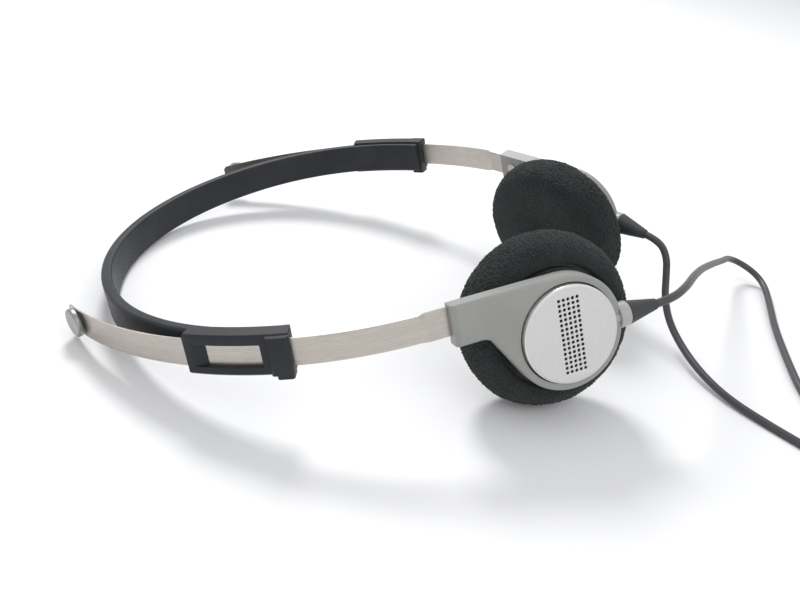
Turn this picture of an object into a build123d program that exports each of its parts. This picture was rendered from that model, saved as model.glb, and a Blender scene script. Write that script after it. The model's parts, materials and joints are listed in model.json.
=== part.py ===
from build123d import *
import os
from math import asin, atan2, cos, degrees, hypot, pi, radians, sin, sqrt, tan

# Lightweight on-ear stereo headphones, lying on their ear pads as put down on a table.
# Millimetres and degrees. The band is drawn in its own plane: U from the crown towards the ears,
# V across to the left side, W normal to that plane. The whole is then tilted onto the table.

# Headband: one plastic blade, a wide arc over the crown and a tighter arc down each side
CROWN_RADIUS = 79.0
CROWN_HALF_ANGLE = 45.0
SIDE_RADIUS = 62.0
BLADE_THICKNESS = 3.3
BLADE_WIDTH = 10.5
BLADE_EDGE = 0.9
BLADE_HALF_LENGTH = 127.0        # along the middle line, from the crown to the end of the bracket

# Slide bracket at each end of the headband, and the steel band that slides in it
BRACKET_AT = 114.0               # middle of the bracket, along the middle line from the crown
BRACKET_LENGTH = 28.4
BRACKET_WIDTH = 11.9
BRACKET_FACE = 1.6               # bracket's outer face above the middle of the steel
WINDOW_LENGTH = 15.2
WINDOW_WIDTH = 6.6
WINDOW_SHIFT = -0.9
WINDOW_RAMP = 3.4                # sloping end of the window, on the crown side
BRACKET_BEVEL = 0.8
BLOCK_LENGTH = 6.0               # closed end of the bracket, towards the ear
BLOCK_PROUD = 0.9                # above the bracket's face
BLOCK_PAST = 0.2                 # beyond the bracket's end
SPRING_HALF_LENGTH = 5.0
SPRING_HALF_WIDTH = 2.0
SPRING_BOW = 0.55
BAND_RADIUS = 93.0
BAND_OFFSET = 3.5                # steel's middle outside the blade's middle
BAND_WIDTH = 8.0
BAND_THICKNESS = 0.5
SLIDE_GAP = 0.05                 # running clearance round the steel, each side
BAND_LENGTH = 112.5              # free end to crease
SPRING_THICKNESS = 0.2
CREASE_LENGTH = 1.8
KNOB_RADIUS = 4.3
KNOB_HEIGHT = 1.5
KNOB_STEM_RADIUS = 2.2
KNOB_STEM_HEIGHT = 0.6
KNOB_BACK = 0.9                  # steel beyond the knob's edge
BAND_END_RADIUS = 1.6

# Arm: flat plastic plate, a socket on the steel and a ring round the cap. Its plane leans by
# ARM_LEAN, which is what the crease in the steel does.
ARM_START = 4.3                  # arm frame's origin beyond the crease
ARM_LEAN = 9.6
ARM_FRONT = 3.4
ARM_BACK = -1.5
ARM_END = 3.8
ARM_TOP = -4.7
ARM_BOTTOM = 6.6
ARM_CORNER = 13.2
ARM_FILLET = 4.4
ARM_BEVEL = 0.6
END_BEVEL = 1.2
RING_X = 35.3
RING_Y = 11.5
RING_RADIUS = 16.2
RING_BORE = 14.2
SEAT_BORE = 8.65
SEAT_TOP = 0.0
TAB_END = 15.0
RIVET_X = 9.0
RIVET_RADIUS = 1.25
RIVET_HEAD = 1.9

# Cable bush and strain relief on the far side of the ring
BUSH_Z = 1.0
BUSH_RADIUS = 3.6
BUSH_BORE = 1.8
BUSH_INNER = 49.6
BUSH_COLLAR = 50.9
BUSH_END = 54.2
RELIEF_BASE = 3.45
RELIEF_TIP = 1.55
RELIEF_END = 63.5

# Driver unit, which tilts in the ring on a ball-shaped neck
TILT_Z = -0.75                   # centre of the neck, in the arm's frame
NECK_RADIUS = 8.6
NECK_BOTTOM = -1.9
SOUND_BORE = 5.0
CAP_RADIUS = 13.75
CAP_WALL = 0.6
CAP_BOTTOM = 1.2
CAP_TOP = 5.0
CAP_ROLL = 0.58
GRID_PITCH = 1.36
GRID_COLUMNS = 5
GRID_ROWS = 16
GRID_HOLE = 0.94
FELT_THICKNESS = 0.6
HUB_TOP = 3.7
SHELL_RADIUS = 20.8
SHELL_STEP = 16.6
SHELL_WALL = 1.2
SHELL_BACK = -2.9
SHELL_SHOULDER = -5.2
SHELL_FRONT = -10.0
BAFFLE_THICKNESS = 1.0
SCREW_CIRCLE = 6.7
SCREW_RADIUS = 0.8
SCREW_HEAD = 1.4
FIT = 0.05

# Dynamic driver, 23 mm across
BASKET_RADIUS = 11.5
YOKE_RADIUS = 6.0
YOKE_BORE = 5.1
YOKE_BACK = -4.7
MAGNET_RADIUS = 4.2
POLE_RADIUS = 4.4
COIL_INNER = 4.55
COIL_OUTER = 4.9
DIAPHRAGM_Z = -9.0

# Foam pad, a bag-shaped disc pulled over the driver unit
PAD_RADIUS = 25.2
PAD_WIDEST = -12.2
PAD_FRONT = -3.35
PAD_FACE = -19.6
PAD_LIP = 17.3

# How the two sides differ as they lie. Both bands are bent by hand and slide on their own.
# crease: from the bracket's middle to the crease. turn: arm's plane turned from the steel's
# tangent. droop: arm turned down in its own plane. sag: how far the soft boot's tip hangs.
RIGHT = {"crease": 47.3, "turn": 0.6, "droop": 0.0, "sag": 0.0}
LEFT = {"crease": 43.6, "turn": -1.4, "droop": 3.5, "sag": 1.4}

# How the headphones lie: both pads and the crown's lower edge on the table
REST_TILT = 13.7
REST_ROLL = 2.15

# Cord: a branch from each ear, a moulded yoke, and the main cord, wound up and tied, with its plug
CORD_DIAMETER = 2.4
CORD_GAP = 0.1                   # between the boot's tip and the start of the branch's tube
CORD_FIRST_RUN = 5.6             # how far a branch carries on straight from the boot
RIGHT_ROUTE = [(95, -14.5, 35.6), (98.6, 1.5, 32.4), (103.6, 21, 27.2), (111, 45.5, 19.8), (117.6, 65.5, 13.6),
               (121, 77.6, 10), (126.4, 82.8, 7.3), (133.2, 82, 4.6), (137.2, 76, 2.5), (137.8, 62.5, 1.4),
               (137.4, 44, 1.2), (138.6, 22, 1.2), (140.6, -1, 1.2), (147.5, -20, 1.2), (162, -35, 1.2),
               (181, -43.5, 1.2), (201, -43, 1.2), (213, -34.5, 1.2), (217, -22.1, 1.7), (214.3, -14.6, 2.2)]
LEFT_ROUTE = [(92.4, 25.2, 27), (93.8, 23.8, 20.4), (95, 21.2, 13.8), (97.6, 15.4, 8.6), (102.2, 6.6, 5.2),
              (108.2, -3.6, 3), (116.2, -13.4, 1.6), (127.6, -22.6, 1.2), (142, -33, 1.2), (156, -51, 1.2),
              (168, -74, 1.2), (188, -89, 1.2), (212, -88, 1.2), (229, -72, 1.2), (234, -52, 1.2),
              (229, -34, 1.2), (220.4, -20.9, 1.7), (217.7, -13.4, 2.2)]
MAIN_ROUTE = [(209.2, 4.8, 2.2), (206.5, 12.4, 1.9), (205.2, 24, 1.7), (205.1, 33, 1.7)]
TAIL_ROUTE = [(205.1, 39, 4.1), (205.3, 46, 4.3), (203.6, 54.4, 4.4)]
YOKE_ENTRY = (216, -14, 2.2)     # middle of the end that takes both branches
YOKE_HEADING = 110.0
YOKE_LENGTH = 20.0
YOKE_WIDTH = 8.4
YOKE_TAIL = 4.2
YOKE_HEIGHT = 4.4
COIL_CENTRE = (186, 36)
COIL_MID_RADIUS = 14.0
COIL_TURNS_WIDE = 5.25           # width of the wound ring, in cord diameters
COIL_LAYERS = 2
TIE_WIDTH = 5.0
TIE_THICKNESS = 0.5

# Stereo plug, from the back of its boot to the tip: a smooth 3.5 mm pin with two insulating rings
PLUG_RADIUS = 1.75
PLUG_NECK_RADIUS = 1.15
PLUG_NOSE_RADIUS = 0.8
PLUG_HEADING = 101.5
PLUG_LENGTHS = {"sleeve": 6.0, "insulator": 0.7, "ring": 2.6, "tip": 4.0}
GRIP_RADIUS = 4.4
GRIP_LENGTH = 28.0
BOOT_LENGTH = 9.0
BOOT_RADII = (1.9, 2.3, 3.4)     # at its end, before its step and at its step


def box(x0, x1, y0, y1, z0, z1):
    """Box between two corners."""
    return Pos((x0 + x1) / 2, (y0 + y1) / 2, (z0 + z1) / 2) * Box(x1 - x0, y1 - y0, z1 - z0)


def disc(radius, z0, z1, x=0.0, y=0.0):
    """Cylinder along Z."""
    return Pos(x, y, (z0 + z1) / 2) * Cylinder(radius, z1 - z0)


def ring(outer, inner, z0, z1):
    """Plain ring along Z."""
    return disc(outer, z0, z1) - disc(inner, z0 - 1, z1 + 1)


def turned(points):
    """Solid of revolution about Z from (radius, height) points."""
    profile = Plane.XZ * make_face(Polyline(*points, close=True))
    return revolve(profile, Axis.Z)


def sector(centre, inner, outer, start, end, half_width):
    """Slice of a tube about W at centre, between two angles, symmetric about W = 0."""
    base = Plane.XY.offset(-half_width)
    arc_out = base * Pos(*centre) * CenterArc((0, 0), outer, start, end - start)
    arc_in = base * Pos(*centre) * CenterArc((0, 0), inner, start, end - start)
    sides = [Line(arc_out @ 0, arc_in @ 0), Line(arc_out @ 1, arc_in @ 1)]
    return extrude(make_face([arc_out, arc_in] + sides), 2 * half_width, dir=(0, 0, 1))


# ---- the band's plane -------------------------------------------------------------------------

CROWN_CENTRE = (CROWN_RADIUS, 0.0)
SIDE_CENTRE = (CROWN_RADIUS - (CROWN_RADIUS - SIDE_RADIUS) * cos(radians(CROWN_HALF_ANGLE)),
               (CROWN_RADIUS - SIDE_RADIUS) * sin(radians(CROWN_HALF_ANGLE)))


def side_angle(length):
    """Turn of the blade at a length from the crown, on the side arc."""
    crown_length = CROWN_RADIUS * radians(CROWN_HALF_ANGLE)
    return CROWN_HALF_ANGLE + degrees((length - crown_length) / SIDE_RADIUS)


def polar(centre, radius, turn):
    """Point at a turn from the crown's direction, which is -U."""
    return (centre[0] - radius * cos(radians(turn)), centre[1] + radius * sin(radians(turn)))


BRACKET_TURN = side_angle(BRACKET_AT)
BAND_POINT = polar(SIDE_CENTRE, SIDE_RADIUS + BAND_OFFSET, BRACKET_TURN)
BAND_CENTRE = (BAND_POINT[0] + BAND_RADIUS * cos(radians(BRACKET_TURN)),
               BAND_POINT[1] - BAND_RADIUS * sin(radians(BRACKET_TURN)))


def band_turn(length):
    """Turn of the steel band's arc at a length from the bracket's middle, towards the ear."""
    return BRACKET_TURN + degrees(length / BAND_RADIUS)


def band_slice(start, end, low, high, half_width):
    """Piece about the band's arc: along it from start to end, across it from low to high."""
    return sector(BAND_CENTRE, BAND_RADIUS + low, BAND_RADIUS + high,
                  180 - band_turn(end), 180 - band_turn(start), half_width)


def arm_plane(side):
    """The arm's frame: x away from the steel, z outwards, y down."""
    turn = band_turn(side["crease"] + ARM_START)
    origin = polar(BAND_CENTRE, BAND_RADIUS, turn)
    heading = radians(180 - turn + side["turn"])
    outward = (cos(heading) * cos(radians(ARM_LEAN)), sin(heading) * cos(radians(ARM_LEAN)),
               sin(radians(ARM_LEAN)))
    along = (sin(heading), -cos(heading), 0)
    level = Plane(origin=(origin[0], origin[1], 0), x_dir=along, z_dir=outward)
    return Plane(level.location * Rot(0, 0, side["droop"]))


# ---- headband ---------------------------------------------------------------------------------

def blade():
    """The C-shaped blade as one sweep over three arcs."""
    end_turn = side_angle(BLADE_HALF_LENGTH)
    crown = CenterArc(CROWN_CENTRE, CROWN_RADIUS, 180 - CROWN_HALF_ANGLE, 2 * CROWN_HALF_ANGLE)
    left = CenterArc(SIDE_CENTRE, SIDE_RADIUS, 180 - end_turn, end_turn - CROWN_HALF_ANGLE)
    right_centre = (SIDE_CENTRE[0], -SIDE_CENTRE[1])
    right = CenterArc(right_centre, SIDE_RADIUS, 180 + CROWN_HALF_ANGLE, end_turn - CROWN_HALF_ANGLE)
    path = Wire([left, crown, right])
    start = Plane(origin=path @ 0, z_dir=path % 0, x_dir=(0, 0, 1))
    section = start * RectangleRounded(BLADE_WIDTH, BLADE_THICKNESS, BLADE_EDGE)
    return sweep(section, path=path)


def bracket_body():
    """Outside of the slide bracket on the left side, before it is cut."""
    half = BRACKET_LENGTH / 2
    inner = -BAND_OFFSET
    frame = band_slice(-half, half, inner, BRACKET_FACE, BRACKET_WIDTH / 2)
    frame = chamfer(frame.edges().filter_by(GeomType.CIRCLE).group_by(
        lambda edge: edge.radius)[-1], BRACKET_BEVEL)
    # thicker closed block at the ear end, with a small foot on its lower side
    past = half + BLOCK_PAST
    block = band_slice(past - BLOCK_LENGTH, past, inner, BRACKET_FACE + BLOCK_PROUD, BRACKET_WIDTH / 2 - 0.4)
    block = fillet(block.edges().filter_by(Axis.Z), 1.1)
    foot = band_slice(past - 4.8, past - 0.3, inner + 0.8, BRACKET_FACE + 0.2, 0.9)
    foot = Pos(0, 0, -BRACKET_WIDTH / 2 - 0.2) * foot
    foot = fillet(foot.edges().filter_by(Axis.Z), 0.8)
    return frame + block + foot


def bracket_cuts():
    """Slot for the steel, window over it with its sloping end, and pocket for the spring."""
    half = BRACKET_LENGTH / 2
    slot_half = BAND_THICKNESS / 2 + SLIDE_GAP
    slot = band_slice(-half - 4, half + 6, -slot_half, slot_half, BAND_WIDTH / 2 + SLIDE_GAP)
    window_start = WINDOW_SHIFT - WINDOW_LENGTH / 2
    above = BRACKET_FACE + 2
    window = band_slice(window_start, window_start + WINDOW_LENGTH, 0, above, WINDOW_WIDTH / 2)
    slope = WINDOW_RAMP / (BRACKET_FACE - slot_half)
    wedge = [(window_start, slot_half), (window_start - slope * (above - slot_half), above), (window_start, above)]
    corners = [polar(BAND_CENTRE, BAND_RADIUS + height, band_turn(length)) for length, height in wedge]
    ramp = extrude(make_face(Polyline(*corners, close=True)), WINDOW_WIDTH / 2, both=True)
    reach = SPRING_HALF_LENGTH + 0.5
    pocket = band_slice(-reach, reach, -1.15, 0, SPRING_HALF_WIDTH + 0.3)
    return slot + window + ramp + pocket


def make_headband():
    body = blade()
    for side in (bracket_body(), mirror(bracket_body(), about=Plane.XZ)):
        body = body + side
    for cut in (bracket_cuts(), mirror(bracket_cuts(), about=Plane.XZ)):
        body = body - cut
    return body


def make_slide_spring():
    """Bowed leaf that presses on the steel, in the pocket behind it."""
    reach = SPRING_HALF_LENGTH
    top = -BAND_THICKNESS / 2 - 0.03
    end = top - SPRING_BOW
    flat = ThreePointArc((-reach, end), (0, top), (reach, end))
    low = ThreePointArc((-reach, end - SPRING_THICKNESS), (0, top - SPRING_THICKNESS),
                        (reach, end - SPRING_THICKNESS))
    ends = [Line(flat @ 0, low @ 0), Line(flat @ 1, low @ 1)]
    leaf = extrude(make_face([flat, low] + ends), SPRING_HALF_WIDTH, both=True)
    turn = band_turn(0)
    origin = polar(BAND_CENTRE, BAND_RADIUS, turn)
    outward = (-cos(radians(turn)), sin(radians(turn)), 0)
    along = (sin(radians(turn)), cos(radians(turn)), 0)
    return Plane(origin=(origin[0], origin[1], 0), x_dir=along,
                 z_dir=Vector(*along).cross(Vector(*outward))).location * leaf


# ---- steel band with its arm ------------------------------------------------------------------

def make_slider_band(side):
    """Spring-steel band: arc, crease, and the flat tab that is riveted in the arm."""
    crease = side["crease"]
    free = crease - BAND_LENGTH
    arc = band_slice(free, crease, -BAND_THICKNESS / 2, BAND_THICKNESS / 2, BAND_WIDTH / 2)
    tip = polar(BAND_CENTRE, BAND_RADIUS, band_turn(free))
    corners = arc.edges().filter_by(lambda edge: edge.length < 2 * BAND_THICKNESS)
    arc = fillet(corners.sort_by_distance((tip[0], tip[1], 0))[:2], BAND_END_RADIUS)
    plane = arm_plane(side)
    turn = band_turn(crease)
    point = polar(BAND_CENTRE, BAND_RADIUS, turn)
    forward = (sin(radians(turn)), cos(radians(turn)), 0)
    start = Plane(origin=(point[0], point[1], 0), x_dir=(0, 0, 1), z_dir=forward)
    tab_start = -ARM_START + CREASE_LENGTH
    finish_local = Plane(origin=(tab_start, 0, 0), x_dir=(0, -1, 0), z_dir=(1, 0, 0))
    finish = Plane(plane.location * finish_local.location)
    first = start * Rectangle(BAND_WIDTH, BAND_THICKNESS)
    second = finish * Rectangle(BAND_WIDTH, BAND_THICKNESS)
    crease_solid = loft([first.face(), second.face()], ruled=True)
    tab = box(tab_start, TAB_END, -BAND_WIDTH / 2, BAND_WIDTH / 2,
              -BAND_THICKNESS / 2, BAND_THICKNESS / 2)
    tab = tab - disc(RIVET_RADIUS, -1, 1, RIVET_X)
    return arc + crease_solid + plane.location * tab


def make_stop_knob(side):
    """Round stop at the free end of the steel, on its outer face, with its stem."""
    at = side["crease"] - BAND_LENGTH + KNOB_RADIUS + KNOB_BACK
    turn = band_turn(at)
    seat = polar(BAND_CENTRE, BAND_RADIUS + BAND_THICKNESS / 2, turn)
    outward = (-cos(radians(turn)), sin(radians(turn)), 0)
    plane = Plane(origin=(seat[0], seat[1], 0), x_dir=(0, 0, 1), z_dir=outward)
    head = disc(KNOB_RADIUS, KNOB_STEM_HEIGHT, KNOB_STEM_HEIGHT + KNOB_HEIGHT)
    head = fillet(head.edges().group_by(Axis.Z)[-1], 0.6)
    stem = disc(KNOB_STEM_RADIUS, 0.02, KNOB_STEM_HEIGHT)
    return plane.location * (head + stem)


def arm_outline():
    """Arm plate in plan: straight top edge tangent to the ring, slanted lower edge."""
    across = RING_X - ARM_CORNER
    down = RING_Y - ARM_BOTTOM
    reach = hypot(across, down)
    slant = atan2(down, across) + asin(RING_RADIUS / reach)
    run = sqrt(reach ** 2 - RING_RADIUS ** 2)
    touch = (ARM_CORNER + run * cos(slant), ARM_BOTTOM + run * sin(slant))
    plate = make_face(Polyline((ARM_END, ARM_TOP), (RING_X, ARM_TOP), (RING_X, RING_Y), touch,
                               (ARM_CORNER, ARM_BOTTOM), (ARM_END, ARM_BOTTOM), close=True))
    outline = plate + Pos(RING_X, RING_Y) * Circle(RING_RADIUS)
    corner = outline.vertices().sort_by_distance((ARM_CORNER, ARM_BOTTOM, 0))[0]
    return fillet(corner, ARM_FILLET)


def bush_collar(grow=0.0):
    """Outside of the cable bush, along the arm's x."""
    collar = Cylinder(BUSH_RADIUS + grow, BUSH_END - BUSH_COLLAR)
    spigot = Cylinder(2.6 + grow, BUSH_COLLAR - BUSH_INNER)
    middle = (BUSH_END + BUSH_COLLAR) / 2
    inner = (BUSH_INNER + BUSH_COLLAR) / 2
    return (Pos(middle, RING_Y, BUSH_Z) * Rot(0, 90, 0) * collar
            + Pos(inner, RING_Y, BUSH_Z) * Rot(0, 90, 0) * spigot)


def make_arm():
    """Arm plate with socket, ring, seat for the ball neck and hole for the bush."""
    plate = extrude(arm_outline(), ARM_FRONT - ARM_BACK)
    plate = Pos(0, 0, ARM_BACK) * plate
    front = plate.faces().sort_by(Axis.Z)[-1]
    end_edge = front.edges().sort_by(Axis.X)[0]
    plate = chamfer(end_edge, END_BEVEL)
    front = plate.faces().sort_by(Axis.Z)[-1]
    end_edge = front.edges().sort_by(Axis.X)[0]
    rim = [edge for edge in front.outer_wire().edges() if edge.center() != end_edge.center()]
    plate = chamfer(rim, ARM_BEVEL)
    bore = disc(RING_BORE, SEAT_TOP, ARM_FRONT + 1, RING_X, RING_Y)
    seat = disc(SEAT_BORE, ARM_BACK - 1, SEAT_TOP + 1, RING_X, RING_Y)
    socket = box(ARM_END - 1, TAB_END + FIT, -BAND_WIDTH / 2 - FIT, BAND_WIDTH / 2 + FIT,
                 -BAND_THICKNESS / 2, BAND_THICKNESS / 2)
    rivet_hole = disc(RIVET_RADIUS, ARM_BACK - 1, 2.2, RIVET_X)
    return plate - bore - seat - socket - rivet_hole - bush_collar()


def make_arm_rivet():
    head = disc(RIVET_HEAD, ARM_BACK - 0.35, ARM_BACK, RIVET_X)
    shank = disc(RIVET_RADIUS, ARM_BACK, 2.2, RIVET_X)
    return head + shank


def make_cable_bush():
    bush = bush_collar()
    rim = bush.edges().filter_by(GeomType.CIRCLE).sort_by(Axis.X)[-1]
    bush = fillet(rim, 0.5)
    bore = Pos((BUSH_INNER + BUSH_END) / 2, RING_Y, BUSH_Z) * Rot(0, 90, 0) * Cylinder(
        BUSH_BORE, BUSH_END - BUSH_INNER + 2)
    return bush - bore


def relief_tip_plane(sag):
    """End face of the boot, in the arm's frame, square to the leaning boot."""
    lean = degrees(atan2(sag, RELIEF_END - BUSH_END))
    return Plane(Pos(RELIEF_END, RING_Y + sag, BUSH_Z) * Rot(0, 0, lean) * Rot(0, 90, 0))


def make_strain_relief(sag):
    """Soft tapered boot with a spigot in the bush."""
    base = Plane(Pos(BUSH_END, RING_Y, BUSH_Z) * Rot(0, 90, 0))
    boot = loft([(base * Circle(RELIEF_BASE)).face(), (relief_tip_plane(sag) * Circle(RELIEF_TIP)).face()])
    spigot = base.location * disc(BUSH_BORE, BUSH_INNER - BUSH_END, 0)
    return boot + spigot


# ---- driver unit, drawn about the ring's centre --------------------------------------------------

def make_cap():
    """Drawn aluminium cap with its grid of sound holes."""
    outer = disc(CAP_RADIUS, CAP_BOTTOM, CAP_TOP)
    outer = fillet(outer.edges().group_by(Axis.Z)[-1], CAP_ROLL)
    cap = outer - disc(CAP_RADIUS - CAP_WALL, CAP_BOTTOM - 1, CAP_TOP - CAP_WALL)
    hole = Cylinder(GRID_HOLE / 2, 4 * CAP_WALL)
    grid = [place * hole for place in GridLocations(GRID_PITCH, GRID_PITCH, GRID_COLUMNS, GRID_ROWS)]
    return cap - [Pos(0, 0, CAP_TOP - CAP_WALL) * one for one in grid]


def screw_places():
    return PolarLocations(SCREW_CIRCLE, 3)


def make_hub():
    """Cap seat on a ball-shaped neck that sits in the arm's ring."""
    neck = Pos(0, 0, TILT_Z) * Sphere(NECK_RADIUS)
    neck = neck & disc(NECK_RADIUS + 1, NECK_BOTTOM, CAP_BOTTOM)
    plate = disc(CAP_RADIUS - CAP_WALL - FIT, CAP_BOTTOM, HUB_TOP)
    hub = neck + plate - disc(SOUND_BORE, NECK_BOTTOM - 1, HUB_TOP + 1)
    for place in screw_places():
        hub = hub - place * disc(SCREW_RADIUS, NECK_BOTTOM - 1, CAP_BOTTOM)
    return hub


def make_damping_felt():
    return disc(CAP_RADIUS - CAP_WALL - 0.4, HUB_TOP, HUB_TOP + FELT_THICKNESS)


def make_driver_shell():
    """Rear shell of the driver unit."""
    shell = turned([
        (4.0, NECK_BOTTOM), (8.0, NECK_BOTTOM), (8.0, SHELL_BACK), (SHELL_STEP, SHELL_BACK),
        (SHELL_STEP, SHELL_SHOULDER), (SHELL_RADIUS, SHELL_SHOULDER), (SHELL_RADIUS, SHELL_FRONT),
        (SHELL_RADIUS - SHELL_WALL, SHELL_FRONT), (SHELL_RADIUS - SHELL_WALL, SHELL_SHOULDER - SHELL_WALL),
        (SHELL_STEP - SHELL_WALL, SHELL_SHOULDER - SHELL_WALL), (SHELL_STEP - SHELL_WALL, SHELL_BACK - SHELL_WALL),
        (4.0, SHELL_BACK - SHELL_WALL)])
    for place in screw_places():
        shell = shell - place * disc(SCREW_RADIUS, SHELL_BACK - SHELL_WALL - 1, NECK_BOTTOM + 1)
    return shell


def make_hub_screws():
    inside = SHELL_BACK - SHELL_WALL
    screw = disc(SCREW_HEAD, inside - 0.5, inside) + disc(SCREW_RADIUS, inside, CAP_BOTTOM - 0.2)
    return [place * screw for place in screw_places()]


def make_baffle():
    """Front plate of the driver unit, pierced, with a wall that holds the driver."""
    plate = disc(SHELL_RADIUS, SHELL_FRONT - BAFFLE_THICKNESS, SHELL_FRONT)
    lip = ring(SHELL_RADIUS - SHELL_WALL - FIT, SHELL_RADIUS - SHELL_WALL - 1, SHELL_FRONT, SHELL_FRONT + 1)
    wall = ring(BASKET_RADIUS + 1, BASKET_RADIUS + FIT, SHELL_FRONT, SHELL_FRONT + 2.2)
    baffle = plate + lip + wall
    hole = disc(0.9, SHELL_FRONT - BAFFLE_THICKNESS - 1, SHELL_FRONT + 1)
    holes = [hole]
    for count, radius in ((6, 3.2), (12, 6.4), (16, 9.4)):
        holes += [place * hole for place in PolarLocations(radius, count)]
    return baffle - holes


def make_basket():
    """Driver frame: annular plate round the yoke with a rim down to the baffle."""
    plate = ring(BASKET_RADIUS, YOKE_RADIUS, -7.6, -7.0)
    rim = ring(BASKET_RADIUS, BASKET_RADIUS - 0.8, SHELL_FRONT, -7.0)
    vent = disc(1.1, -8, -6)
    return plate + rim - [place * vent for place in PolarLocations(8.4, 6)]


def make_yoke_cup():
    return disc(YOKE_RADIUS, -8.0, YOKE_BACK) - disc(YOKE_BORE, -9.0, YOKE_BACK - 0.8)


def make_magnet():
    return disc(MAGNET_RADIUS, -7.2, YOKE_BACK - 0.8)


def make_pole_plate():
    return disc(POLE_RADIUS, -8.0, -7.2)


def make_voice_coil():
    return ring(COIL_OUTER, COIL_INNER, DIAPHRAGM_Z, -6.7)


def make_diaphragm():
    """Thin film: dome over the coil, roll out to the basket's rim."""
    film = 0.15
    edge = BASKET_RADIUS - 0.8
    z = DIAPHRAGM_Z
    return turned([(0, z - 0.75), (2.6, z - 0.55), (COIL_OUTER, z), (7.8, z - 0.45), (edge, z),
                   (edge, z - film), (7.8, z - 0.45 - film), (COIL_OUTER, z - film),
                   (2.6, z - 0.55 - film), (0, z - 0.75 - film)])


def make_terminal_board():
    board = box(-3.4, 3.4, -1.6, 1.6, YOKE_BACK, YOKE_BACK + 0.3)
    pads = [disc(0.7, YOKE_BACK + 0.3, YOKE_BACK + 0.42, x) for x in (-2.2, 2.2)]
    return board + pads[0] + pads[1]


def make_pad():
    """Foam pad as a plain closed solid with its pocket for the driver unit."""
    outline = Spline([(PAD_LIP + 1.2, PAD_FRONT), (22.2, PAD_FRONT - 1.0), (24.6, -7.4), (PAD_RADIUS, PAD_WIDEST),
                      (24.3, -16.6), (21.6, -18.9), (17.0, PAD_FACE)],
                     tangents=[(1, 0.1), (-1, -0.05)])
    pocket = SHELL_RADIUS + FIT
    floor = SHELL_FRONT - BAFFLE_THICKNESS - FIT
    lip = SHELL_SHOULDER + FIT
    rest = Polyline((17.0, PAD_FACE), (0, PAD_FACE), (0, floor), (pocket, floor), (pocket, lip),
                    (PAD_LIP, lip), (PAD_LIP, PAD_FRONT - 1.0), (PAD_LIP + 1.2, PAD_FRONT))
    profile = Plane.XZ * make_face([*outline.edges(), *rest.edges()])
    return revolve(profile, Axis.Z)


# ---- cord ---------------------------------------------------------------------------------------

def cord_radii(points):
    """Arc radius at each inner point: as large as its two runs allow."""
    radii = []
    for before, here, after in zip(points, points[1:], points[2:]):
        first = Vector(*here) - Vector(*before)
        second = Vector(*after) - Vector(*here)
        half_turn = radians(first.get_angle(second)) / 2
        radii.append(0.45 * min(first.length, second.length) / tan(half_turn))
    return radii


def cord_tube(name, points, diameter):
    """Round cord along straight runs joined by tangent arcs."""
    radii = cord_radii(points)
    path = FilletPolyline(*points, radius=radii)
    start = Plane(origin=path @ 0, z_dir=path % 0)
    tube = sweep(start * Circle(diameter / 2), path=path)
    section = pi * diameter ** 2 / 4
    print(name, "length", round(path.length, 1), "smallest radius", round(min(radii), 1),
          "volume ratio", round(tube.volume / (section * path.length), 4))
    return tube


def cord_exit(side, flip, beyond):
    """Point on the axis of a boot, beyond its tip, in the band's frame. flip is -1 on the right."""
    tip = arm_plane(side).location * relief_tip_plane(side["sag"]).location * Pos(0, 0, beyond)
    return Pos(tip.position.X, flip * tip.position.Y, tip.position.Z)


def make_branch(name, side, flip, route):
    """One ear's cord, from its boot to the yoke. Its first run carries on along the boot."""
    runs = (CORD_GAP, CORD_FIRST_RUN)
    start = [(SHIFT * TO_TABLE * cord_exit(side, flip, beyond)).position for beyond in runs]
    return cord_tube(name, [tuple(point) for point in start] + route, CORD_DIAMETER)


def make_yoke():
    """Moulded Y-piece, flat and tapered, with both branches in one end."""
    entry = Plane(Pos(*YOKE_ENTRY) * Rot(0, 0, YOKE_HEADING) * Rot(0, 90, 0))
    leave = Plane(entry.location * Pos(0, 0, YOKE_LENGTH))
    wide = (entry * RectangleRounded(YOKE_HEIGHT, YOKE_WIDTH, 1.9)).face()
    narrow = (leave * RectangleRounded(YOKE_HEIGHT, YOKE_TAIL, 1.9)).face()
    return loft([wide, narrow])


def make_coil():
    """Outside of the wound length of the main cord."""
    half = COIL_TURNS_WIDE * CORD_DIAMETER / 2
    height = COIL_LAYERS * CORD_DIAMETER
    wound = ring(COIL_MID_RADIUS + half, COIL_MID_RADIUS - half, TIE_THICKNESS, TIE_THICKNESS + height)
    return Pos(*COIL_CENTRE) * wound


def make_tie(coil):
    """Band round the wound cord, at the side away from the tails."""
    half = COIL_TURNS_WIDE * CORD_DIAMETER / 2 + TIE_THICKNESS
    height = COIL_LAYERS * CORD_DIAMETER + 2 * TIE_THICKNESS
    band = box(-TIE_WIDTH / 2, TIE_WIDTH / 2, COIL_MID_RADIUS - half, COIL_MID_RADIUS + half, 0, height)
    return Pos(*COIL_CENTRE) * band - coil


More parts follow.
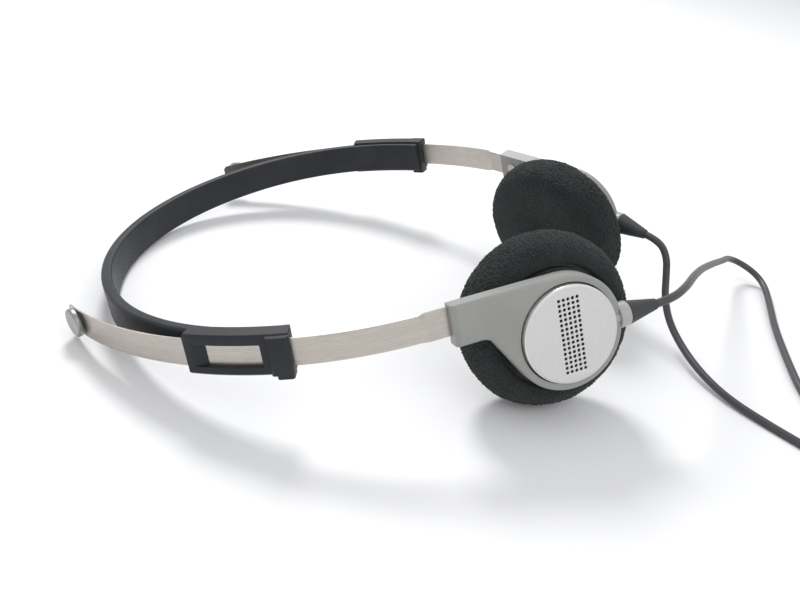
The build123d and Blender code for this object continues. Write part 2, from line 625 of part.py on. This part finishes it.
def make_plug():
    """Pieces of the stereo plug, with its axis along its own +X from the back of the boot."""
    end, before, step = BOOT_RADII
    grip = turned([(0, 0), (end, 0), (before, BOOT_LENGTH - 1), (step, BOOT_LENGTH), (GRIP_RADIUS, BOOT_LENGTH + 1.4),
                   (GRIP_RADIUS, GRIP_LENGTH - 1.2), (GRIP_RADIUS - 0.9, GRIP_LENGTH), (0, GRIP_LENGTH)])
    at = GRIP_LENGTH
    sleeve_end = at + PLUG_LENGTHS["sleeve"]
    ring_start = sleeve_end + PLUG_LENGTHS["insulator"]
    ring_end = ring_start + PLUG_LENGTHS["ring"]
    tip_start = ring_end + PLUG_LENGTHS["insulator"]
    tip_end = tip_start + PLUG_LENGTHS["tip"]
    tip = turned([(0, tip_start), (PLUG_NECK_RADIUS + 0.15, tip_start), (PLUG_NECK_RADIUS, tip_start + 0.5),
                  (PLUG_RADIUS, tip_start + 1.5), (PLUG_RADIUS - 0.25, tip_end - 0.9),
                  (PLUG_NOSE_RADIUS, tip_end), (0, tip_end)])
    pieces = {"plug_grip": [grip], "plug_sleeve": [disc(PLUG_RADIUS, at, sleeve_end)],
              "plug_ring": [disc(PLUG_RADIUS, ring_start, ring_end)], "plug_tip": [tip],
              "plug_insulators": [disc(PLUG_RADIUS, sleeve_end, ring_start),
                                  disc(PLUG_RADIUS, ring_end, tip_start)]}
    place = Pos(*TAIL_ROUTE[-1]) * Rot(0, 0, PLUG_HEADING) * Rot(0, 90, 0)
    placed = {name: [place * one for one in solids] for name, solids in pieces.items()}
    return {name: solids[0] if len(solids) == 1 else Compound(children=solids)
            for name, solids in placed.items()}


# ---- assembly -----------------------------------------------------------------------------------

TO_TABLE = Rot(REST_ROLL, 0, 0) * Rot(0, -REST_TILT, 0)
DRIVER_PIECES = {
    "cap": make_cap, "hub": make_hub, "damping_felt": make_damping_felt,
    "driver_shell": make_driver_shell, "hub_screws": make_hub_screws, "baffle": make_baffle,
    "basket": make_basket, "yoke_cup": make_yoke_cup, "magnet": make_magnet,
    "pole_plate": make_pole_plate, "voice_coil": make_voice_coil, "diaphragm": make_diaphragm,
    "terminal_board": make_terminal_board, "ear_pad": make_pad}
ARM_PIECES = {"arm": make_arm, "arm_rivet": make_arm_rivet, "cable_bush": make_cable_bush}


def make_side(name, side, mirrored):
    """All pieces of one side, in the band's frame."""
    arm_place = arm_plane(side).location
    driver_place = arm_place * Pos(RING_X, RING_Y, 0)
    pieces = {"slide_spring": make_slide_spring(), "slider_band": make_slider_band(side),
              "stop_knob": make_stop_knob(side), "strain_relief": arm_place * make_strain_relief(side["sag"])}
    for piece, maker in ARM_PIECES.items():
        pieces[piece] = arm_place * maker()
    for piece, maker in DRIVER_PIECES.items():
        made = maker()
        solids = made if isinstance(made, list) else [made]
        placed = [driver_place * one for one in solids]
        pieces[piece] = placed[0] if len(placed) == 1 else Compound(children=placed)
    if mirrored:
        pieces = {piece: mirror(shape, about=Plane.XZ) for piece, shape in pieces.items()}
    return {piece + "_" + name: shape for piece, shape in pieces.items()}


parts = {"headband": make_headband()}
parts.update(make_side("left", LEFT, False))
parts.update(make_side("right", RIGHT, True))
parts = {name: TO_TABLE * shape for name, shape in parts.items()}

bounds = [shape.bounding_box() for shape in parts.values()]
low = [min(getattr(one.min, axis) for one in bounds) for axis in "XYZ"]
high = [max(getattr(one.max, axis) for one in bounds) for axis in "XYZ"]
SHIFT = Pos(-(low[0] + high[0]) / 2, -(low[1] + high[1]) / 2, -low[2])
parts = {name: SHIFT * shape for name, shape in parts.items()}
print("size", [round(b - a, 2) for a, b in zip(low, high)], "shift", SHIFT.position)
print("lowest", {name: round(shape.bounding_box().min.Z, 2) for name, shape in parts.items()
                 if name in ("headband", "ear_pad_left", "ear_pad_right")})

parts["cord_right"] = make_branch("cord_right", RIGHT, -1, RIGHT_ROUTE)
parts["cord_left"] = make_branch("cord_left", LEFT, 1, LEFT_ROUTE)
parts["cord_yoke"] = make_yoke()
parts["cord_main"] = cord_tube("cord_main", MAIN_ROUTE, CORD_DIAMETER)
parts["cord_coil"] = make_coil()
parts["cord_tail"] = cord_tube("cord_tail", TAIL_ROUTE, CORD_DIAMETER)
parts["cord_tie"] = make_tie(parts["cord_coil"])
parts.update(make_plug())

os.makedirs("parts", exist_ok=True)
for name, shape in parts.items():
    export_step(shape, "parts/" + name + ".step")
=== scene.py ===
import json
import math
import bmesh
import bpy
from mathutils import Matrix, Vector, noise


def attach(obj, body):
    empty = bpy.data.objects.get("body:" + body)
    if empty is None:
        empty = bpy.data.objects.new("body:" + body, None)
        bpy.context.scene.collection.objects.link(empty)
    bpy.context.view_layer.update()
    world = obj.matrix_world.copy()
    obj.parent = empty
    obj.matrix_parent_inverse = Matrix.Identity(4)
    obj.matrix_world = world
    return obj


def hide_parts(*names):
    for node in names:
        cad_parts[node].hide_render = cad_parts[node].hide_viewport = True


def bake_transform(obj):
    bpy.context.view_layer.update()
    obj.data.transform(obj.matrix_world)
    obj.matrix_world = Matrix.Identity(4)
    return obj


# Lightweight on-ear headphones lying on a pale table. Metres, in the CAD model's frame.

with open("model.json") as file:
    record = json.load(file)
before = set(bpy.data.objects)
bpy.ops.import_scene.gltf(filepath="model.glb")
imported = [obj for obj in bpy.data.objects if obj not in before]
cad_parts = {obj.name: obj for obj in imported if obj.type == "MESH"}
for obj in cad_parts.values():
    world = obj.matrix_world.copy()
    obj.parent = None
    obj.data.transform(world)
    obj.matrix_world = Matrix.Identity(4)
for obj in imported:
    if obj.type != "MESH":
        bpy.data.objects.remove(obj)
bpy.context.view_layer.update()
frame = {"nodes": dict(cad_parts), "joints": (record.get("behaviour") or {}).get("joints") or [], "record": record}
NODES = frame["nodes"]
JOINTS = {joint["name"]: joint for joint in frame["joints"]}
MOUNTS = {mount["name"]: mount for mount in frame["record"]["mounts"]}
SLOTS = {part["node"]: part["material_slot"] for part in frame["record"]["subparts"]}
SIDES = ("left", "right")

CAMERA_PLACE = (0.0562, -0.2576, 0.1435)
CAMERA_TURN = 10.23
CAMERA_TILT = 61.71
CAMERA_ROLL = 7.80
CAMERA_LENS = 39.94
LIGHTS_AIM = (0.0, 0.0, 0.02)
# For each light its place, size and power
LIGHTS = {"key": ((-0.35, 0.55, 0.75), 0.30, 6.2), "fill": ((0.6, -0.5, 0.6), 0.9, 2.0)}
SKY_STRENGTH = 0.80
TABLE_REACH = 3.0

CORD_DIAMETER = 0.0024
RIGHT_ROUTE = [(0.0861, -0.0282, 0.0345), (0.0906, -0.0251, 0.0358), (0.0950, -0.0145, 0.0356),
               (0.0986, 0.0015, 0.0324), (0.1036, 0.0210, 0.0272), (0.1110, 0.0455, 0.0198),
               (0.1176, 0.0655, 0.0136), (0.1210, 0.0776, 0.0100), (0.1264, 0.0828, 0.0073),
               (0.1332, 0.0820, 0.0046), (0.1372, 0.0760, 0.0025), (0.1378, 0.0625, 0.0014),
               (0.1374, 0.0440, 0.0012), (0.1386, 0.0220, 0.0012), (0.1406, -0.0010, 0.0012),
               (0.1475, -0.0200, 0.0012), (0.1620, -0.0350, 0.0012), (0.1810, -0.0435, 0.0012),
               (0.2010, -0.0430, 0.0012), (0.2130, -0.0345, 0.0012), (0.2170, -0.0221, 0.0017),
               (0.2143, -0.0146, 0.0022)]
LEFT_ROUTE = [(0.0843, 0.0308, 0.0310), (0.0890, 0.0279, 0.0308), (0.0924, 0.0252, 0.0270),
              (0.0938, 0.0238, 0.0204), (0.0950, 0.0212, 0.0138), (0.0976, 0.0154, 0.0086),
              (0.1022, 0.0066, 0.0052), (0.1082, -0.0036, 0.0030), (0.1162, -0.0134, 0.0016),
              (0.1276, -0.0226, 0.0012), (0.1420, -0.0330, 0.0012), (0.1560, -0.0510, 0.0012),
              (0.1680, -0.0740, 0.0012), (0.1880, -0.0890, 0.0012), (0.2120, -0.0880, 0.0012),
              (0.2290, -0.0720, 0.0012), (0.2340, -0.0520, 0.0012), (0.2290, -0.0340, 0.0012),
              (0.2204, -0.0209, 0.0017), (0.2177, -0.0134, 0.0022)]
MAIN_ROUTE = [(0.2092, 0.0048, 0.0022), (0.2065, 0.0124, 0.0019), (0.2052, 0.0240, 0.0017)]
TAIL_ROUTE = [(0.2053, 0.0460, 0.0043), (0.2036, 0.0544, 0.0044)]
COIL_CENTRE = (0.186, 0.036)
COIL_OUTER = 0.0191
COIL_TURNS = 4.0                 # in each of the two layers
COIL_LOW = 0.0017
COIL_HIGH = 0.0041
POINTS_PER_TURN = 16

TILT_DEPTH = 0.00075             # tilt axis below the arm's middle plane
CAP_EDGE_HEIGHTS = (0.00555, 0.00572)   # above the tilt axis, where the rolled rim turns into the face
SCRATCH_STRETCH = 0.0045         # metres of pattern per radian along the steel: short, so scratches are long


# ---- materials -----------------------------------------------------------------------------------

def new_material(name):
    material = bpy.data.materials.new(name)
    material.use_nodes = True
    return material, material.node_tree, material.node_tree.nodes["Principled BSDF"]


def add_node(tree, kind, **values):
    """New node. Values name its own properties, or its inputs with _ for a space."""
    node = tree.nodes.new(kind)
    for key, value in values.items():
        if hasattr(node, key):
            setattr(node, key, value)
        else:
            node.inputs[key.replace("_", " ")].default_value = value
    return node


def object_place(tree):
    return add_node(tree, "ShaderNodeTexCoord").outputs["Object"]


def noise_value(tree, scale, detail=3.0, place=None, roughness=0.5):
    texture = add_node(tree, "ShaderNodeTexNoise", Scale=scale, Detail=detail, Roughness=roughness)
    tree.links.new(place or object_place(tree), texture.inputs["Vector"])
    return texture.outputs["Fac"]


def remap(tree, value, low, high, to_low, to_high):
    node = add_node(tree, "ShaderNodeMapRange", From_Min=low, From_Max=high, To_Min=to_low, To_Max=to_high)
    tree.links.new(value, node.inputs["Value"])
    return node.outputs["Result"]


def mix_colours(tree, factor, first, second):
    node = add_node(tree, "ShaderNodeMix", data_type="RGBA")
    tree.links.new(factor, node.inputs["Factor"])
    for socket, colour in (("A", first), ("B", second)):
        target = [one for one in node.inputs if one.name == socket and one.type == "RGBA"][0]
        if hasattr(colour, "links"):
            tree.links.new(colour, target)
        else:
            target.default_value = (*colour, 1)
    return [one for one in node.outputs if one.type == "RGBA"][0]


def bump(tree, height, strength, distance, normal=None):
    node = add_node(tree, "ShaderNodeBump", Strength=strength, Distance=distance)
    tree.links.new(height, node.inputs["Height"])
    if normal:
        tree.links.new(normal, node.inputs["Normal"])
    return node.outputs["Normal"]


def moulded_plastic(name, dark, light, roughness, grain=0.00004, shine=0.5):
    """Satin moulded plastic: fine grain and faint cloudiness."""
    material, tree, shader = new_material(name)
    cloud = noise_value(tree, 60, 4)
    colour = mix_colours(tree, remap(tree, cloud, 0.35, 0.65, 0, 1), dark, light)
    tree.links.new(colour, shader.inputs["Base Color"])
    tree.links.new(remap(tree, noise_value(tree, 900, 2), 0.3, 0.7, roughness - 0.05, roughness + 0.06),
                   shader.inputs["Roughness"])
    tree.links.new(bump(tree, noise_value(tree, 2600, 2), 0.5, grain), shader.inputs["Normal"])
    shader.inputs["Specular IOR Level"].default_value = shine
    return material


def plain_metal(name, colour, roughness, scratch=0.00001):
    material, tree, shader = new_material(name)
    shader.inputs["Metallic"].default_value = 1
    shade = mix_colours(tree, noise_value(tree, 140, 4), [0.86 * one for one in colour], colour)
    tree.links.new(shade, shader.inputs["Base Color"])
    tree.links.new(remap(tree, noise_value(tree, 700, 3), 0.3, 0.7, roughness - 0.06, roughness + 0.08),
                   shader.inputs["Roughness"])
    tree.links.new(bump(tree, noise_value(tree, 3000, 2), 0.4, scratch), shader.inputs["Normal"])
    return material


def along_arc(tree, side):
    """Coordinates on a slider's curve: along it, out of it and across the steel, in metres."""
    joint = JOINTS["slide_" + side]
    axis = Vector(joint["axis"])
    first = axis.cross(Vector((0, 1, 0))).normalized()
    second = axis.cross(first)
    offset = add_node(tree, "ShaderNodeVectorMath", operation="SUBTRACT")
    tree.links.new(object_place(tree), offset.inputs[0])
    offset.inputs[1].default_value = joint["pos_m"]
    parts = []
    for direction in (first, second, axis):
        dot = add_node(tree, "ShaderNodeVectorMath", operation="DOT_PRODUCT")
        tree.links.new(offset.outputs["Vector"], dot.inputs[0])
        dot.inputs[1].default_value = direction
        parts.append(dot.outputs["Value"])
    angle = add_node(tree, "ShaderNodeMath", operation="ARCTAN2")
    tree.links.new(parts[1], angle.inputs[0])
    tree.links.new(parts[0], angle.inputs[1])
    length = add_node(tree, "ShaderNodeMath", operation="MULTIPLY")
    tree.links.new(angle.outputs["Value"], length.inputs[0])
    length.inputs[1].default_value = SCRATCH_STRETCH
    joined = add_node(tree, "ShaderNodeCombineXYZ")
    tree.links.new(length.outputs["Value"], joined.inputs["X"])
    tree.links.new(parts[2], joined.inputs["Z"])
    return joined.outputs["Vector"]


def brushed_steel(side):
    """Spring steel with scratches that run along its curve."""
    material, tree, shader = new_material("spring_steel_" + side)
    shader.inputs["Metallic"].default_value = 1
    place = along_arc(tree, side)
    fine = noise_value(tree, 5200, 5, place, 0.65)
    broad = noise_value(tree, 900, 3, place)
    smudge = noise_value(tree, 45, 4)
    colour = mix_colours(tree, remap(tree, fine, 0.3, 0.7, 0, 1), (0.45, 0.412, 0.37), (0.635, 0.592, 0.545))
    colour = mix_colours(tree, remap(tree, broad, 0.25, 0.75, 0, 0.5), colour, (0.42, 0.385, 0.35))
    tree.links.new(colour, shader.inputs["Base Color"])
    tree.links.new(remap(tree, smudge, 0.3, 0.7, 0.30, 0.46), shader.inputs["Roughness"])
    tree.links.new(bump(tree, fine, 0.5, 0.000025), shader.inputs["Normal"])
    return material


def cap_metal(side):
    """Satin aluminium face inside a bright rolled rim."""
    material, tree, shader = new_material("cap_aluminium_" + side)
    shader.inputs["Metallic"].default_value = 0.75
    offset = add_node(tree, "ShaderNodeVectorMath", operation="SUBTRACT")
    tree.links.new(object_place(tree), offset.inputs[0])
    offset.inputs[1].default_value = JOINTS["tilt_" + side]["pos_m"]
    height = add_node(tree, "ShaderNodeVectorMath", operation="DOT_PRODUCT")
    tree.links.new(offset.outputs["Vector"], height.inputs[0])
    height.inputs[1].default_value = -Vector(MOUNTS["ear_face_" + side]["axis"])
    face = remap(tree, height.outputs["Value"], *CAP_EDGE_HEIGHTS, 0, 1)
    grit = noise_value(tree, 4200, 2)
    satin = mix_colours(tree, remap(tree, grit, 0.3, 0.7, 0, 1), (0.57, 0.56, 0.555), (0.68, 0.67, 0.66))
    tree.links.new(mix_colours(tree, face, (0.84, 0.83, 0.82), satin), shader.inputs["Base Color"])
    tree.links.new(remap(tree, face, 0, 1, 0.34, 0.52), shader.inputs["Roughness"])
    tree.links.new(bump(tree, grit, 0.35, 0.00002), shader.inputs["Normal"])
    return material


def foam_material():
    """Open-cell foam: dark, matt and pitted, with painted shade in its pits and a faint sheen from its fuzz."""
    material, tree, shader = new_material("foam")
    cells = add_node(tree, "ShaderNodeTexVoronoi", Scale=2600)
    tree.links.new(object_place(tree), cells.inputs["Vector"])
    pits = cells.outputs["Distance"]
    patches = noise_value(tree, 110, 5)
    # the pits are painted darker than the cell walls: painted shade in the foam's open cells
    pit_shade = remap(tree, pits, 0.1, 0.6, 0, 1)
    colour = mix_colours(tree, pit_shade, (0.009, 0.011, 0.011), (0.026, 0.031, 0.030))
    colour = mix_colours(tree, remap(tree, patches, 0.35, 0.7, 0, 0.5), colour, (0.036, 0.041, 0.040))
    tree.links.new(colour, shader.inputs["Base Color"])
    shader.inputs["Roughness"].default_value = 1.0
    shader.inputs["Specular IOR Level"].default_value = 0.05
    shader.inputs["Sheen Weight"].default_value = 0.10
    shader.inputs["Sheen Roughness"].default_value = 0.6
    fine = bump(tree, noise_value(tree, 7000, 3), 0.5, 0.00012)
    tree.links.new(bump(tree, pits, 0.7, 0.0002, fine), shader.inputs["Normal"])
    return material


def rubber(name, dark, light, roughness):
    material, tree, shader = new_material(name)
    tree.links.new(mix_colours(tree, noise_value(tree, 200, 4), dark, light), shader.inputs["Base Color"])
    tree.links.new(remap(tree, noise_value(tree, 1200, 2), 0.3, 0.7, roughness - 0.06, roughness + 0.06),
                   shader.inputs["Roughness"])
    tree.links.new(bump(tree, noise_value(tree, 1800, 3), 0.4, 0.00005), shader.inputs["Normal"])
    return material


def felt_material():
    material, tree, shader = new_material("black_felt")
    fibre = noise_value(tree, 3000, 5, roughness=0.8)
    tree.links.new(mix_colours(tree, fibre, (0.006, 0.006, 0.006), (0.022, 0.022, 0.024)),
                   shader.inputs["Base Color"])
    shader.inputs["Roughness"].default_value = 1.0
    tree.links.new(bump(tree, fibre, 1.0, 0.0002), shader.inputs["Normal"])
    return material


def paint(node, material):
    mesh = NODES[node].data
    mesh.materials.clear()
    mesh.materials.append(material)


def paint_nodes():
    """A material for every CAD node, by the record's material slots."""
    by_slot = {
        "headband_plastic": moulded_plastic("headband_plastic", (0.020, 0.022, 0.025), (0.028, 0.031, 0.035),
                                            0.46, shine=0.22),
        "bright_metal": plain_metal("bright_metal", (0.36, 0.36, 0.345), 0.36),
        "arm_plastic": moulded_plastic("arm_plastic", (0.262, 0.264, 0.250), (0.296, 0.298, 0.282),
                                       0.42),
        "silver_plastic": moulded_plastic("silver_plastic", (0.34, 0.34, 0.33), (0.41, 0.41, 0.395), 0.30),
        "boot_rubber": rubber("boot_rubber", (0.026, 0.028, 0.031), (0.038, 0.041, 0.045), 0.55),
        "cord_sheath": rubber("cord_sheath", (0.040, 0.040, 0.044), (0.055, 0.055, 0.060), 0.42),
        "tie": rubber("tie", (0.020, 0.020, 0.020), (0.035, 0.035, 0.035), 0.40),
        "black_plastic": moulded_plastic("black_plastic", (0.014, 0.014, 0.015), (0.022, 0.022, 0.024), 0.5),
        "black_felt": felt_material(),
        "foam": foam_material(),
        "screw_steel": plain_metal("screw_steel", (0.55, 0.55, 0.55), 0.30),
        "driver_metal": plain_metal("driver_metal", (0.42, 0.42, 0.43), 0.38),
        "magnet": plain_metal("magnet", (0.14, 0.14, 0.15), 0.60),
        "copper": plain_metal("copper", (0.72, 0.38, 0.22), 0.30),
        "plug_metal": plain_metal("plug_metal", (0.72, 0.71, 0.68), 0.16),
        "film": moulded_plastic("film", (0.36, 0.34, 0.25), (0.44, 0.42, 0.32), 0.25),
        "board": moulded_plastic("board", (0.16, 0.08, 0.03), (0.23, 0.12, 0.05), 0.55)}
    steel = {side: brushed_steel(side) for side in SIDES}
    caps = {side: cap_metal(side) for side in SIDES}
    for node, slot in SLOTS.items():
        side = node.rsplit("_", 1)[-1]
        if slot == "spring_steel":
            paint(node, steel[side])
        elif slot == "cap_aluminium":
            paint(node, caps[side])
        else:
            paint(node, by_slot[slot])
    return by_slot


# ---- camera, light and table ------------------------------------------------------------------------

def turned_to(place, target):
    """Rotation of a light at place that shines on target."""
    return (Vector(target) - Vector(place)).to_track_quat("-Z", "Y").to_euler()


def add_camera():
    data = bpy.data.cameras.new("camera")
    data.lens = CAMERA_LENS
    data.clip_start = 0.01
    camera = bpy.data.objects.new("camera", data)
    turn = Matrix.Rotation(math.radians(CAMERA_TURN), 3, "Z")
    tilt = Matrix.Rotation(math.radians(CAMERA_TILT), 3, "X")
    roll = Matrix.Rotation(math.radians(CAMERA_ROLL), 3, "Z")
    camera.rotation_euler = (turn @ tilt @ roll).to_euler()
    camera.location = CAMERA_PLACE
    bpy.context.scene.collection.objects.link(camera)
    bpy.context.scene.camera = camera


def add_light(name, place, size, power):
    data = bpy.data.lights.new(name, "AREA")
    data.shape = "DISK"
    data.size = size
    data.energy = power
    light = bpy.data.objects.new(name, data)
    light.location = place
    light.rotation_euler = turned_to(place, LIGHTS_AIM)
    bpy.context.scene.collection.objects.link(light)


def add_table():
    material, tree, shader = new_material("table")
    tree.links.new(mix_colours(tree, noise_value(tree, 9, 4), (0.80, 0.80, 0.805), (0.84, 0.84, 0.845)),
                   shader.inputs["Base Color"])
    shader.inputs["Roughness"].default_value = 0.75
    tree.links.new(bump(tree, noise_value(tree, 900, 4), 0.2, 0.00005), shader.inputs["Normal"])
    mesh = bpy.data.meshes.new("table")
    corners = [(x * TABLE_REACH, y * TABLE_REACH, 0) for x, y in ((-1, -1), (1, -1), (1, 1), (-1, 1))]
    mesh.from_pydata(corners, [], [(0, 1, 2, 3)])
    mesh.materials.append(material)
    table = bpy.data.objects.new("table", mesh)
    bpy.context.scene.collection.objects.link(table)


def light_scene():
    world = bpy.data.worlds.new("studio")
    world.use_nodes = True
    sky = world.node_tree.nodes["Background"]
    sky.inputs["Color"].default_value = (0.97, 0.98, 1.0, 1)
    sky.inputs["Strength"].default_value = SKY_STRENGTH
    bpy.context.scene.world = world
    for name, (place, size, power) in LIGHTS.items():
        add_light(name, place, size, power)
    bpy.context.scene.view_settings.view_transform = "Standard"


# ---- cords ------------------------------------------------------------------------------------------

def nurbs(name, points, radius):
    """Smooth curve whose control points are the route's points."""
    curve = bpy.data.curves.new(name, "CURVE")
    curve.dimensions = "3D"
    curve.bevel_depth = radius
    curve.bevel_resolution = 6
    curve.resolution_u = 12
    curve.use_fill_caps = radius > 0
    spline = curve.splines.new("NURBS")
    spline.points.add(len(points) - 1)
    for place, point in zip(spline.points, points):
        place.co = (*point, 1)
    spline.order_u = 3
    spline.use_endpoint_u = True
    made = bpy.data.objects.new(name, curve)
    bpy.context.scene.collection.objects.link(made)
    return made


def as_mesh(curve_object):
    """The curve's mesh, with the curve removed."""
    mesh = bpy.data.meshes.new_from_object(curve_object)
    bpy.data.objects.remove(curve_object)
    return mesh


def add_branch(side, route, sheath):
    """One ear's cord, a tube along its route, which stays where it lies."""
    name = "branch_" + side
    path = [tuple(vertex.co) for vertex in as_mesh(nurbs(name + "_line", route, 0)).vertices]
    mesh = as_mesh(nurbs(name + "_round", route, CORD_DIAMETER / 2))
    mesh.materials.clear()
    mesh.materials.append(sheath)
    mesh.shade_smooth()
    cord = bpy.data.objects.new(name, mesh)
    bpy.context.scene.collection.objects.link(cord)
    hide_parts("cord_" + side)
    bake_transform(cord)


def coil_points():
    """Turns of the wound cord: inwards in the lower layer, outwards in the upper one."""
    steps = round(2 * COIL_TURNS * POINTS_PER_TURN)
    # the spline passes inside its control points, by this much
    swell = 2 / (1 + math.cos(math.pi / POINTS_PER_TURN))
    points = []
    for step in range(steps + 1):
        turns = step / POINTS_PER_TURN
        inward = min(turns, 2 * COIL_TURNS - turns)
        radius = (COIL_OUTER - inward * CORD_DIAMETER) * swell
        climb = min(max(turns - COIL_TURNS + 0.5, 0), 1)
        height = COIL_LOW + (COIL_HIGH - COIL_LOW) * climb
        angle = 2 * math.pi * turns
        points.append((COIL_CENTRE[0] + radius * math.cos(angle), COIL_CENTRE[1] + radius * math.sin(angle),
                       height))
    return points


def add_main_cord(sheath):
    cord = nurbs("main_cord", MAIN_ROUTE + coil_points() + TAIL_ROUTE, CORD_DIAMETER / 2)
    cord.data.materials.append(sheath)
    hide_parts("cord_main", "cord_coil", "cord_tail")
    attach(cord, "headband")


# ---- foam pads --------------------------------------------------------------------------------------

def driver_matrix(side):
    """Frame of the driver unit: z outwards, x along the arm, origin in the arm's middle plane."""
    joint = JOINTS["tilt_" + side]
    outward = -Vector(MOUNTS["ear_face_" + side]["axis"])
    along = Vector(joint["axis"])
    across = outward.cross(along)
    origin = Vector(joint["pos_m"]) + TILT_DEPTH * outward
    matrix = Matrix((along, across, outward)).transposed().to_4x4()
    matrix.translation = origin
    return matrix


def smooth_outline(points, steps):
    """Points of a smooth curve through the given ones, by Catmull-Rom segments."""
    made = []
    last = len(points) - 1
    for index in range(last):
        four = [Vector(points[min(max(index + shift, 0), last)]) for shift in (-1, 0, 1, 2)]
        for step in range(steps):
            t = step / steps
            made.append(0.5 * ((2 * four[1]) + (four[2] - four[0]) * t
                               + (2 * four[0] - 5 * four[1] + 4 * four[2] - four[3]) * t * t
                               + (3 * four[1] - four[0] - 3 * four[2] + four[3]) * t ** 3))
    made.append(Vector(points[-1]))
    return made


# Pad's outline as radius and height, from the lip behind the driver unit round to the ear face
PAD_OUTSIDE = [(0.0182, -0.0034), (0.0206, -0.0036), (0.0232, -0.0056), (0.0247, -0.0086), (0.0252, -0.0122),
               (0.0246, -0.0158), (0.0228, -0.0183), (0.0200, -0.0194), (0.0160, -0.0196), (0.0100, -0.0195),
               (0.0040, -0.0194), (0.0002, -0.0194)]
PAD_INSIDE = [(0.0001, -0.0112), (0.0209, -0.0112), (0.0209, -0.0051), (0.0174, -0.0051), (0.0174, -0.0042)]
PAD_MIDDLE = -0.0115
PAD_SEEDS = {"left": Vector((3.1, 0.7, 5.3)), "right": Vector((8.4, 2.9, 1.6))}
# Scale of each pattern and its height in metres: two for lumps, then two for the ragged surface
SKIN = ((120, 0.00022), (420, 0.00012), (1500, 0.00034), (2900, 0.00034))
SKIN_INSET = 0.00015


def skin_height(place, seed):
    """How far the foam's skin stands out at a place."""
    return sum(noise.noise(place * scale + seed) * height for scale, height in SKIN) - SKIN_INSET


def add_pad(side, foam):
    """Foam pad: a bag-shaped disc with an uneven, ragged skin and its pocket for the driver unit."""
    outside = smooth_outline([(r, 0, z) for r, z in PAD_OUTSIDE], 18)
    inside = [Vector((r, 0, z)) for r, z in PAD_INSIDE]
    around = 720
    matrix = driver_matrix(side)
    seed = PAD_SEEDS[side]
    places, faces = [], []
    rings = outside + inside
    for index, point in enumerate(rings):
        for step in range(around):
            angle = 2 * math.pi * step / around
            here = Vector((point.x * math.cos(angle), point.x * math.sin(angle), point.z))
            if 1 < index < len(outside):
                away = Vector((here.x, here.y, 0.8 * (point.z - PAD_MIDDLE))).normalized()
                here = here + away * skin_height(here, seed)
            places.append(matrix @ here)
    count = len(rings)
    for row in range(count):
        below = (row + 1) % count
        for step in range(around):
            beside = (step + 1) % around
            faces.append((row * around + step, row * around + beside, below * around + beside,
                          below * around + step))
    mesh = bpy.data.meshes.new("foam_pad_" + side)
    mesh.from_pydata(places, [], faces)
    mesh.materials.append(foam)
    mesh.shade_smooth()
    pad = bpy.data.objects.new("foam_pad_" + side, mesh)
    bpy.context.scene.collection.objects.link(pad)
    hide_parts("ear_pad_" + side)
    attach(pad, "cup_" + side)


# ---- moulded and pressed pieces with softened edges ---------------------------------------------------

# What is made again with softened edges, and the width of the softening, in metres
SOFTENED = {"arm": 0.00022, "stop_knob": 0.00012, "cable_bush": 0.00012, "cap": 0.00008}
HEADBAND_SOFTENING = 0.00018
MERGE_WITHIN = 1e-6
# Turns between two faces, in radians: joined into one face, part of a curve, an edge to round off
SAME_PLANE = math.radians(0.5)
ON_A_CURVE = (0.01, math.radians(9))
SHARP_EDGE = math.radians(24)
SHADED_EDGE = math.radians(35)
# In square metres: smaller faces are shaded smooth, larger ones flat, and those between by their neighbours
SMALL_FACE = 0.000004
LARGE_FACE = 0.00004


def add_softened(node, body, width):
    """The node's own shape with every sharp edge rounded off."""
    source = NODES[node]
    work = bmesh.new()
    work.from_mesh(source.data)
    work.transform(source.matrix_world)
    bmesh.ops.remove_doubles(work, verts=work.verts, dist=MERGE_WITHIN)
    bmesh.ops.dissolve_limit(work, angle_limit=SAME_PLANE, verts=work.verts, edges=work.edges)
    sharp = [edge for edge in work.edges if edge.is_manifold and edge.calc_face_angle() > SHARP_EDGE]
    bmesh.ops.bevel(work, geom=sharp, offset=width, segments=2, profile=0.5, affect="EDGES",
                    clamp_overlap=True)
    work.normal_update()
    smooth = []
    for face in work.faces:
        area = face.calc_area()
        curved = any(ON_A_CURVE[0] < edge.calc_face_angle(0.0) < ON_A_CURVE[1] for edge in face.edges)
        smooth.append(area < SMALL_FACE or (area < LARGE_FACE and curved))
    mesh = bpy.data.meshes.new(node + "_softened")
    work.to_mesh(mesh)
    work.free()
    # the shape has changed, so the node's stored normals no longer fit it
    if "custom_normal" in mesh.attributes:
        mesh.attributes.remove(mesh.attributes["custom_normal"])
    mesh.materials.append(source.data.materials[0])
    mesh.set_sharp_from_angle(angle=SHADED_EDGE)
    for polygon, keep in zip(mesh.polygons, smooth):
        polygon.use_smooth = keep
    piece = bpy.data.objects.new(node + "_softened", mesh)
    bpy.context.scene.collection.objects.link(piece)
    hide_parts(node)
    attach(piece, body)


# ---- making -----------------------------------------------------------------------------------------

add_camera()
materials = paint_nodes()
add_branch("right", RIGHT_ROUTE, materials["cord_sheath"])
add_branch("left", LEFT_ROUTE, materials["cord_sheath"])
add_main_cord(materials["cord_sheath"])
for side in SIDES:
    add_pad(side, materials["foam"])
    for base, width in SOFTENED.items():
        add_softened(base + "_" + side, ("cup_" if base == "cap" else "slider_") + side, width)
add_softened("headband", "headband", HEADBAND_SOFTENING)
add_table()
light_scene()
